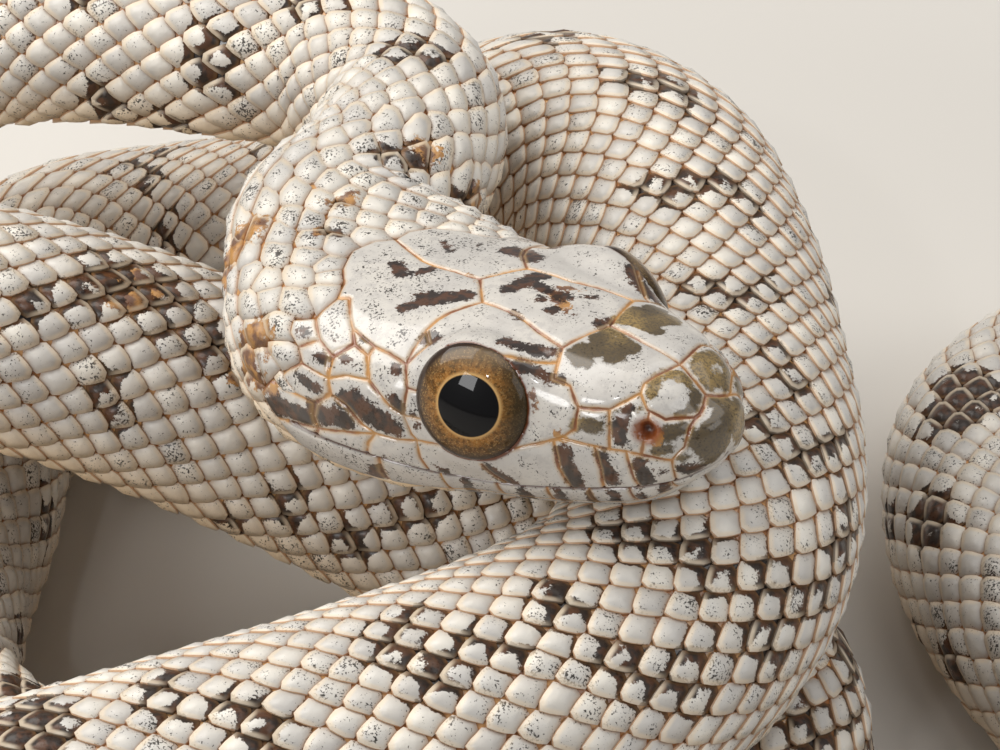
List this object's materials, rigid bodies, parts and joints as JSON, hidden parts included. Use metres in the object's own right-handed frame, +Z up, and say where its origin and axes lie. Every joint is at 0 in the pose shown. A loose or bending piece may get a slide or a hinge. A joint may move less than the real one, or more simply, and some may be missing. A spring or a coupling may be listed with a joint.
{
  "type": "coiled snake",
  "caption": "Life-size still model of a coiled young rat snake, its head raised and resting on a coil, lying flat on the ground.",
  "frame": {"origin": "middle of the footprint at ground level, the level that the lower coils lie on", "axes": "+Z up from the ground; +X to the right and +Y away for someone who sees the snake's head point to the right"},
  "size_m": [0.0554, 0.0484, 0.0195],
  "materials": {
    "scales": "satin keratin scales, pale grey with dark crossbars over tan skin",
    "eye": "clear glossy spectacle over a brown-gold iris and a round black pupil"
  },
  "bodies": {
    "root": {"head": "scales", "lower_jaw": "scales", "eye_right": "eye", "eye_left": "eye", "neck": "scales", "body_01": "scales", "body_02": "scales", "body_03": "scales", "body_04": "scales", "body_05": "scales", "body_06": "scales", "body_07": "scales", "body_08": "scales", "body_09": "scales", "body_10": "scales", "body_11": "scales", "body_12": "scales", "body_13": "scales", "tail_01": "scales", "tail_02": "scales", "tail_03": "scales"}
  },
  "joints": []
}
